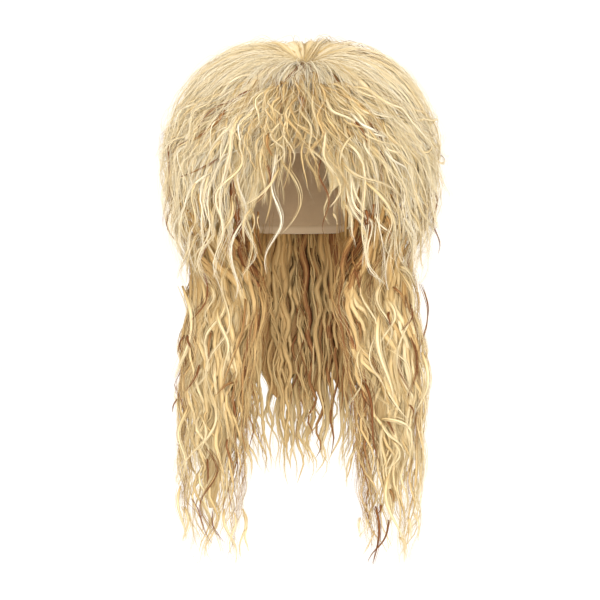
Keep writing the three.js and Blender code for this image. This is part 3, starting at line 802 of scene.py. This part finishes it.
# The locks that stand out at the front, as the camera sees them in the plane through its target:
# from x0, z0 to x1, z1, with so many waves, the first one's start as a share of a wave, the swing
# towards the wearer's left, the lock's width and its tone.
PUFF_LOCKS = [
    (-29, 18, -22, -70, 2.2, 0.5, 8, 3.5, 0.69),
    (-22, -70, -72, -119, 0.5, 0, 8, 3, 0.67),
    (-62, -3, -93, -76, 0.9, 0.5, 5, 3.5, 0.67),
    (-50, -1, -84, -40, 0.5, 0.5, 2, 3, 0.65),
    (-58, -27, -60, -70, 1, 0.5, 4, 3, 0.67),
    (-72, -42, -101, -160, 1.4, 0, 11, 5, 0.69),
    (-39, -40, -43, -112, 0.9, 0.5, 4, 3, 0.69),
    (-96, -26, -128, -62, 0.5, 0, 4, 5, 0.65),
    (-88, -36, -112, -76, 0.6, 0.5, 4, 4, 0.65),
    (-77, -104, -93, -180, 1, 0, 5, 4, 0.67),
    (-54, -118, -66, -160, 0.6, 0.5, 5, 3, 0.67),
    (-107, -116, -99, -202, 1.6, 0, 4, 3, 0.69),
    (-120, -30, -132, -110, 1.3, 0.2, 5, 3, 0.71),
    (-116, -84, -128, -150, 1, 0.5, 5, 4, 0.65),
    (-14, 10, -8, -70, 1.4, 0.1, 5, 3, 0.65),
    (4, 6, 22, -64, 1.5, 0.6, 4, 2.5, 0.65),
    (20, 20, 21, -38, 1, 0.5, 3, 3.5, 0.67),
    (23, -12, 44, -84, 1.2, 0, 5, 4, 0.69),
    (44, -78, 42, -118, 0.6, 0, 7, 3, 0.67),
    (60, 5, 90, -60, 0.6, 0, 9, 5, 0.71),
    (86, -50, 114, -88, 0.5, 0, 4, 4, 0.69),
    (67, -32, 50, -66, 0.5, 0.5, 5, 3, 0.67),
    (50, -62, 124, -109, 1, 0.5, 5, 3.5, 0.69),
    (84, -42, 127, -107, 1, 0, 4, 3.5, 0.69),
    (77, -86, 117, -172, 0.5, 0, 14, 5, 0.67),
    (100, -14, 134, -64, 0.8, 0.5, 4, 4, 0.67),
    (118, -60, 128, -140, 1.3, 0.6, 5, 3, 0.71),
    (100, -116, 114, -181, 1, 0, 7, 3, 0.71),
    (73, -139, 86, -188, 0.7, 0, 4, 2.5, 0.69),
    (54, -110, 66, -153, 0.6, 0, 4, 2.5, 0.69),
    (-19, -62, -22, -152, 0.5, 0, 24, 1.2, 0.63),
    (8, -45, 47, -82, 0.6, 0, 3, 1.5, 0.65),
    (-54, -122, -55, -152, 0.6, 0, 3, 1.5, 0.65),
    (-46, -126, -45, -146, 0.6, 0.5, 2, 1.2, 0.63),
    (40, -124, 47, -138, 0.6, 0, 1, 1.5, 0.69),
    (-38, -62, -46, -115, 0.6, 0, 9, 2, 0.06),
    (-84, -4, -126, -40, 0.5, 0, 4, 7, 0.14),
    (-93, -59, -144, -84, 0.6, 0, 2, 1.4, 0.1),
    (-110, -158, -116, -180, 0.6, 0, 2, 7, 0.16),
    (-80, -160, -74, -180, 0.6, 0, 2, 7, 0.14),
    (-149, -118, -146, -162, 0.6, 0.5, 7, 1.4, 0.05),
    (-36, -30, -32, -58, 0.6, 0.5, 3, 6, 0.2),
    (3, 14, 6, -4, 0.6, 0, 1, 6, 0.12),
    (28, -58, 35, -158, 1.5, 0.5, 5, 1.8, 0.05),
    (66, -14, 84, -44, 0.6, 0, 3, 4, 0.1),
    (81, -120, 83, -138, 0.6, 0, 1, 6, 0.08),
    (104, -127, 108, -160, 0.6, 0, 2, 5, 0.2),
    (160, -97, 165, -173, 1.5, 0, 3, 1.4, 0.05),
    (-128, -140, -140, -202, 0.7, 0, 3, 4, 0.67),
    (-120, -150, -134, -206, 0.6, 0.5, 3, 3.5, 0.67),
    (138, -90, 158, -150, 0.7, 0.5, 4, 4, 0.67),
    (132, -120, 152, -190, 0.8, 0, 5, 4, 0.67),
]
RIGHT_LOCKS = [
    (-76, -179, -108, -353, 1.7, 0.5, 9, 3.4, 0.74),
    (-88, -216, -122, -341, 1.7, 0, 7, 3, 0.74),
    (-136, -210, -138, -319, 0.6, 0, 12, 8, 0.66),
    (-103, -208, -104, -256, 1, 0, 5, 2.5, 0.72),
    (-104, -330, -129, -448, 0.8, 0, 16, 4, 0.76),
    (-117, -362, -116, -414, 0.6, 0, 7, 3, 0.72),
    (-134, -350, -139, -446, 1.3, 0.3, 5, 5, 0.67),
    (-92, -235, -84, -320, 1.2, 0.6, 5, 5, 0.64),
    (-139, -446, -136, -510, 0.8, 0.5, 4, 6, 0.69),
    (-134, -471, -134, -512, 0.6, 0, 4, 5, 0.69),
    (-86, -473, -73, -538, 1, 0.5, 4, 5, 0.71),
    (-76, -477, -79, -527, 1, 0, 3, 4, 0.71),
    (-66, -473, -65, -531, 0.9, 0, 4, 5, 0.71),
    (-59, -494, -59, -523, 0.6, 0.5, 2, 3.5, 0.71),
    (-107, -402, -103, -510, 1.2, 0, 11, 1.4, 0.08),
    (-126, -461, -101, -514, 1, 0, 2, 1.2, 0.08),
    (-100, -473, -89, -514, 0.6, 0.5, 5, 1.2, 0.08),
    (-109, -195, -123, -254, 0.6, 0, 9, 3, 0.04),
    (-131, -268, -127, -284, 0.6, 0.5, 1, 3.6, 0.04),
    (-134, -268, -143, -290, 0.6, 0.5, 1, 1.2, 0.04),
    (-101, -263, -105, -302, 0.6, 0.5, 2, 4, 0.12),
    (-116, -303, -132, -335, 0.6, 0, 2, 3, 0.08),
    (-143, -343, -149, -359, 0.6, 0.5, 1, 1.8, 0.05),
    (-76, -323, -97, -338, 0.6, 0.5, 2, 2.5, 0.14),
    (-108, -414, -107, -444, 0.6, 0, 1, 2.5, 0.04),
    (-64, -225, -87, -337, 0.8, 0, 4, 4, 0.2),
]
LEFT_LOCKS = [
    (78, -197, 99, -355, 2, 0.5, 7, 3, 0.74),
    (101, -203, 103, -283, 1, 0.5, 8, 4, 0.76),
    (103, -283, 131, -344, 0.55, 0, 15, 2.8, 0.77),
    (119, -191, 134, -331, 1, 0, 13, 4, 0.76),
    (104, -224, 106, -279, 0.7, 0, 10, 5, 0.76),
    (98, -240, 108, -352, 0.8, 0.5, 6, 9, 0.64),
    (120, -186, 140, -209, 0.6, 0, 3, 5, 0.77),
    (78, -278, 63, -360, 1.3, 0.5, 5, 2, 0.66),
    (146, -288, 142, -360, 0.55, 0, 10, 8, 0.72),
    (103, -330, 131, -372, 0.6, 0.5, 2, 4, 0.77),
    (97, -367, 133, -415, 0.52, 0, 20, 5, 0.77),
    (97, -369, 128, -413, 1, 0.5, 3, 3, 0.76),
    (100, -374, 99, -426, 0.6, 0.5, 2, 2.5, 0.74),
    (110, -391, 105, -430, 0.55, 0, 14, 3.5, 0.76),
    (107, -431, 121, -537, 0.9, 0.5, 7, 7, 0.74),
    (105, -446, 112, -490, 0.6, 0, 2, 3, 0.76),
    (72, -483, 73, -508, 0.6, 0.5, 1, 3, 0.71),
    (81, -483, 74, -507, 0.6, 0, 3, 2, 0.71),
    (121, -506, 127, -525, 0.6, 0, 3, 4, 0.72),
    (131, -483, 134, -508, 0.6, 0, 1, 4, 0.72),
    (138, -477, 144, -511, 0.6, 0, 3, 3, 0.72),
    (90, -498, 77, -527, 0.6, 0, 1, 1.5, 0.4),
    (145, -208, 143, -290, 0.55, 0, 9, 1.6, 0.12),
    (93, -470, 92, -539, 0.6, 0, 5, 5, 0.08),
    (107, -486, 86, -538, 0.8, 0, 4, 3, 0.08),
    (68, -190, 74, -215, 0.6, 0, 1, 4, 0.06),
    (113, -210, 130, -236, 0.6, 0, 2, 4, 0.12),
    (134, -232, 124, -264, 0.6, 0, 5, 2.5, 0.05),
    (107, -240, 109, -258, 0.6, 0.5, 1, 3.5, 0.05),
    (131, -266, 134, -344, 0.6, 0, 9, 2.5, 0.04),
    (117, -291, 131, -335, 0.6, 0.5, 3, 3, 0.05),
    (78, -321, 97, -420, 1, 0, 3, 5, 0.07),
    (110, -449, 114, -466, 0.6, 0, 1, 4, 0.14),
    (104, -369, 114, -386, 0.6, 0, 1, 4, 0.08),
    (98, -468, 94, -480, 0.6, 0, 1, 4, 0.05),
    (71, -252, 75, -277, 0.6, 0, 1, 3, 0.12),
    (131, -350, 136, -367, 0.6, 0, 3, 1.4, 0.1),
]


def seen_at(x, z, lift):
    """The point of the hair's front that the camera shows at x and z of its target's plane."""
    up = np.array([0.0, math.sin(ELEVATION), math.cos(ELEVATION)])
    point = TARGET + np.multiply.outer(z - TARGET[2], up)
    point[..., 0] = x
    ray = point - EYE
    for _ in range(8):
        depth = front_depth(point[..., 0], point[..., 2]) - lift
        point = EYE + ray * ((depth - EYE[1]) / ray[..., 1])[..., None]
    return point


def front_locks(rows, seed, lift, ending, material, nodes):
    """Builds a table's locks, each of strands round a core, so far in front of the hair."""
    rng = np.random.default_rng(seed)
    hair, core = Hair(22), Hair(22, LENS)
    t = hair.t
    forward = np.array([0.0, -1.0, 0.0])
    for x0, z0, x1, z1, waves, phase, swing, width, tone in rows:
        count = round(2 + 1.1 * width)
        length = math.hypot(x1 - x0, z1 - z0)
        turn = 2 * math.pi * (waves * t + phase) + rng.normal(0, 0.12, (count, 1))
        offset = rng.normal(0, 0.42 * width, (count, 1)) * (1.1 - 0.7 * t)
        side = offset + swing * np.sin(turn) * rng.uniform(0.9, 1.1, (count, 1))
        side = side + rng.normal(0, 0.4, (count, 1)) * np.sin(9 * t + rng.uniform(0, 6, (count, 1)))
        x = x0 + (x1 - x0) * t - side * (z1 - z0) / length
        z = z0 + (z1 - z0) * t + side * (x1 - x0) / length
        sunk = 5 * (1 - smooth(t / 0.15)) + 2 * smooth((t - 0.85) / 0.15)
        above = lift - sunk + 0.25 * width * np.cos(turn + 1) + rng.normal(0, 0.6, (count, 1))
        path = seen_at(x, z, above)
        own = np.clip(tone + rng.normal(0, 0.05, count) * (tone > 0.15), 0.02, 1)
        hair.add(path, forward, rng.uniform(0.5, 0.85, count), own)
        core.add(path.mean(0, keepdims=True), forward, np.array([0.75 * width]), tone)
    hair.build(f"front_strands{ending}", material, nodes)
    core.build(f"front_locks{ending}", material, nodes)


# The crown: smooth round the whorl, then wavy towards its tips

BROAD = dict(size=0, frizz=0)
CROWN = ["crown_layers"]

crown_broad = Hair(16, LENS)
puff_hair(crown_broad, 101, (-180, 180), (-10, 60), 80, 1, begins=(0, 0.1), lift=(-9, -3),
          root=-12, width=(12, 20), amplitude=(1, 3), flick=(0, 0), tone=0.78, brown=0, **BROAD)
# Broad locks deep under the back hair, in a lower tone: painted shade.
puff_hair(crown_broad, 102, (108, 252), (136, 200), 84, 1, lift=(-24, -8), root=-30,
          width=(12, 18), amplitude=(3, 6), flick=(0, 4), tone=0.56, brown=0, **BROAD)
crown_broad.build("crown_broad_locks", crown_hair, CROWN)

crown_cores, crown_top = Hair(14, LENS), Hair(14)
FLAT = dict(core=crown_cores, begins=(0.01, 0.4), lift=(-4, 3), root=-5, amplitude=(0.5, 2),
            wavelength=(60, 100), bend=6, tone=0.8, size=4.5, tighten=0.1)
puff_hair(crown_top, 111, (-90, 90), (-36, 10), 92, 7, core_width=(1, 2.5), flick=(-6, 1), sway=16,
          brown=0.05, **FLAT)
puff_hair(crown_top, 112, (70, 290), (-20, 90), 82, 6, core_width=(2, 5), flick=(-3, 6), sway=12,
          brown=0.04, **FLAT)
crown_top.build("crown_top_strands", crown_hair, CROWN)
crown_cores.build("crown_top_locks", crown_hair, CROWN)

back_cores, crown_back = Hair(18, LENS), Hair(18)
LOWER = dict(core=back_cores, core_width=(3, 7), amplitude=(4, 8), wavelength=(68, 84), sway=12,
             tone=0.7)
for seed, azimuths, ends, clumps, begins, lift in (
    (121, (98, 262), (70, 150), 36, (0.15, 0.5), (-10, 2)),
    (122, (98, 262), (150, 206), 64, (0.2, 0.7), (-12, 2)),
    (130, (110, 150), (130, 200), 14, (0.3, 0.6), (-20, -4)),
    (230, (210, 250), (130, 200), 14, (0.3, 0.6), (-20, -4)),
):
    puff_hair(crown_back, seed, azimuths, ends, clumps, 4, begins=begins, lift=lift, **LOWER)
crown_back.build("crown_back_strands", crown_hair, CROWN)
back_cores.build("crown_back_locks", crown_hair, CROWN)

# The fringe: golden roots below the crown, toned darker as painted shade of the valley under the
# crown's hair, and bangs parted at the middle

FRINGE = ["fringe"]

fringe_broad = Hair(18, LENS)
puff_hair(fringe_broad, 201, (-46, 46), (60, 104), 36, 1, arc=(-2, 10), lift=(-16, -6), root=-20,
          width=(8, 14), amplitude=(3, 5), flick=(-6, 0), tone=0.38, brown=0, **BROAD)
fringe_broad.build("fringe_broad_locks", crown_hair, FRINGE)

fringe_cores, fringe = Hair(22, LENS), Hair(22)
BANG = dict(core=fringe_cores, core_width=(2, 4.5), arc=(-6, 8), amplitude=(5, 11), gather=0.3,
            wavelength=(42, 56), sway=12, bend=8, size=3, tighten=0.7)
puff_hair(fringe, 210, (-34, 34), (0, 40), 22, 5, lift=(-6, 2), arc=(0, 14), gather=0.8,
          flick=(-6, 0), tone=0.34, amplitude=(2, 4))
for seed, azimuths, ends, clumps, members, lift, flick, tone in (
    (211, (-14, 16), (36, 66), 12, 7, (-10, 2), (-8, 0), 0.46),
    (212, (-46, -13), (76, 146), 26, 7, (-12, 3), (-8, 2), 0.5),
    (213, (14, 46), (76, 146), 26, 7, (-12, 3), (-8, 2), 0.5),
    (214, (-27, -8), (70, 122), 9, 5, (-8, 2), (-8, 0), 0.5),
    (215, (10, 25), (70, 118), 7, 5, (-8, 2), (-8, 0), 0.5),
):
    puff_hair(fringe, seed, azimuths, ends, clumps, members, lift=lift, flick=flick, tone=tone,
              **BANG)
fringe.build("fringe_strands", crown_hair, FRINGE)
fringe_cores.build("fringe_locks", crown_hair, FRINGE)

front_locks(PUFF_LOCKS, 221, 4.0, "", crown_hair, FRINGE)

# The side layers, the tresses and the lengths that run from one into the other

LAYER = dict(core_width=(2, 4.5), amplitude=(4, 10), wavelength=(52, 60), sway=16, bend=11,
             size=3.2, tighten=0.7)

for side, name in SIDES:
    layer, tress = [f"side_layers_{name}"], [f"tress_{name}"]

    side_broad = Hair(18, LENS)
    puff_hair(side_broad, 300 + side, (side * 34, side * 125), (90, 170), 56, 1, arc=(-8, 10),
              lift=(-15, -4), root=-20, width=(9, 16), amplitude=(3, 5), flick=(0, 4), tone=0.72,
              brown=0, **BROAD)
    side_broad.build(f"side_broad_locks_{name}", crown_hair, layer)

    side_cores, side_strands = Hair(26, LENS), Hair(26)
    for seed, near, far, ends, clumps, members, arc, gather, lift, flick, tone in (
        (320, 34, 82, (50, 124), 28, 5, (-10, 8), 0.2, (-10, 2), (0, 8), 0.74),
        (325, 56, 125, (80, 165), 26, 5, (-12, 12), 0.45, (-12, 2), (0, 12), 0.78),
        (330, 30, 122, (146, 232), 36, 5, (-30, 4), 0.38, (-12, 2), (2, 16), 0.78),
        (340, 62, 104, (30, 170), 18, 4, (-10, 10), 0.6, (-4, 2), (8, 16), 0.72),
    ):
        puff_hair(side_strands, seed + side, (side * near, side * far), ends, clumps, members,
                  core=side_cores, arc=arc, gather=gather, lift=lift, flick=flick, tone=tone, **LAYER)
    side_strands.build(f"side_strands_{name}", crown_hair, layer)
    side_cores.build(f"side_locks_{name}", crown_hair, layer)

    tress_broad = Hair(34, LENS)
    length_hair_on(tress_broad, 410, side, 30, 1, starts=(80, 190), ends=(440, 530),
                   lift=(-12, -4), level=(0.76, 0.94), width=(8, 15), amplitude=(4, 8),
                   wavelength=LONG_WAVES, tone=0.42, brown=0, **BROAD)
    tress_broad.build(f"tress_broad_locks_{name}", length_hair, tress)

    tress_cores, tress_strands = Hair(44, LENS), Hair(44)
    length_hair_on(tress_strands, 420, side, 34, 6, starts=(60, 190), drift=18, tighten=0.6,
                   size=4.2, wavelength=LONG_WAVES, width=(0.4, 0.75), tone=0.46, brown=0.08)
    # Hair round the tress's inner side, by the neck, in a low golden-brown tone: painted shade.
    length_hair_on(tress_strands, 430, side, 12, 4, core=tress_cores, angles=(-150, -50),
                   azimuths=(24, 40), starts=(90, 170), lift=(-40, -16), tone=0.22, size=5,
                   amplitude=(2, 5), inner_shade=0, brown=0)
    length_hair_on(tress_strands, 440, side, 20, 4, core=tress_cores, angles=(95, 235),
                   azimuths=(80, 110), starts=(110, 170), lift=(-40, -10), wavelength=LONG_WAVES,
                   core_width=(4, 8), tone=0.4)
    tress_strands.build(f"tress_strands_{name}", length_hair, tress)
    tress_cores.build(f"tress_locks_{name}", length_hair, tress)

    rows = RIGHT_LOCKS if side < 0 else LEFT_LOCKS
    front_locks(rows, 450, 5.0, f"_{name}", length_hair, tress)

# Loose single strands that cross the others, and a halo of them over the top

halo = Hair(14)
puff_hair(halo, 600, (-180, 180), (-40, 30), 60, 1, begins=(0.05, 0.6), lift=(3, 8), size=0,
          width=(0.35, 0.5), amplitude=(1, 4), flick=(0, 6), sway=20, bend=10, tone=0.8, brown=0)
halo.build("crown_loose_strands", crown_hair, CROWN)

loose = Hair(20)
LOOSE = dict(size=0, arc=(-6, 30), width=(0.4, 0.6), amplitude=(3, 9), wavelength=(34, 70), brown=0.03,
             bend=16, sway=24)
puff_hair(loose, 601, (-60, 60), (20, 130), 110, 1, gather=0.3, lift=(0, 5), flick=(-4, 4), tone=0.7,
          **LOOSE)
loose.build("fringe_loose_strands", crown_hair, FRINGE)
for side, name in SIDES:
    loose = Hair(20)
    puff_hair(loose, 602 + side, (side * 40, side * 120), (40, 190), 80, 1, gather=0.5, lift=(0, 6),
              flick=(0, 14), tone=0.76, **LOOSE)
    loose.build(f"side_loose_strands_{name}", crown_hair, [f"side_layers_{name}"])

# The long back

MANE = ["back_mane"]

mane_broad = Hair(30, LENS)
mane_hair(mane_broad, 501, 20, 1, level=(0.6, 0.85), width=(14, 22), tone=0.44, brown=0,
          wavelength=LONG_WAVES, **BROAD)
# The inner face, in a low golden-brown tone: painted shade.
mane_hair(mane_broad, 502, 34, 1, skin=-1, level=(0.5, 0.9), width=(8, 15), tone=0.19,
          amplitude=(2, 5), starts=(0.02, 0.08), ends=(0.66, 0.94), brown=0, **BROAD)
mane_broad.build("mane_broad_locks", length_hair, MANE)

mane_cores, mane = Hair(30, LENS), Hair(30)
mane_hair(mane, 511, 34, 4, core=mane_cores, wavelength=LONG_WAVES)
# The inner face, in a low golden-brown tone: painted shade.
mane_hair(mane, 512, 30, 3, core=mane_cores, core_width=(1.5, 4), skin=-1.0, tone=0.21, brown=0,
          width=(0.5, 0.8), amplitude=(2, 5), starts=(0.02, 0.1), ends=(0.7, 0.98))
mane.build("mane_strands", length_hair, MANE)
mane_cores.build("mane_locks", length_hair, MANE)


# Stage, light and camera

def aim(holder, place, target):
    holder.location = place
    holder.rotation_euler = (Vector(target) - Vector(place)).to_track_quat("-Z", "Y").to_euler()
    bpy.context.collection.objects.link(holder)


def stage_floor():
    bpy.ops.mesh.primitive_circle_add(vertices=96, radius=4.0, fill_type="NGON",
                                      location=(0, 0, FLOOR_LEVEL * MM))
    floor = bpy.context.object
    floor.name = "floor"
    material, _, shader = new_material("floor_paper", 0.9)
    shader.inputs["Base Color"].default_value = (0.98, 0.98, 0.98, 1)
    floor.data.materials.append(material)


def area_light(name, place, target, size, power):
    light = bpy.data.lights.new(name, "AREA")
    light.shape = "SQUARE"
    light.size = size
    light.energy = power
    aim(bpy.data.objects.new(name, light), place, target)


stage_floor()
scene = bpy.context.scene
scene.view_settings.view_transform = "Standard"
scene.view_settings.look = "None"
scene.world = bpy.data.worlds.new("studio")
scene.world.use_nodes = True
background = scene.world.node_tree.nodes["Background"]
background.inputs["Color"].default_value = (1.0, 0.95, 0.88, 1)
background.inputs["Strength"].default_value = 1.15
area_light("key", (-1.1, -1.9, 1.3), (0, 0, -0.2), 1.2, 18)
area_light("fill", (1.6, -1.6, 0.6), (0, 0, -0.25), 1.6, 7)
area_light("front", (0.1, -2.9, 0.1), (0, 0, -0.25), 1.4, 50)

camera_data = bpy.data.cameras.new("camera")
camera_data.lens = 36 * DISTANCE / FRAME_HEIGHT
camera = bpy.data.objects.new("camera", camera_data)
aim(camera, EYE * MM, TARGET * MM)
scene.camera = camera
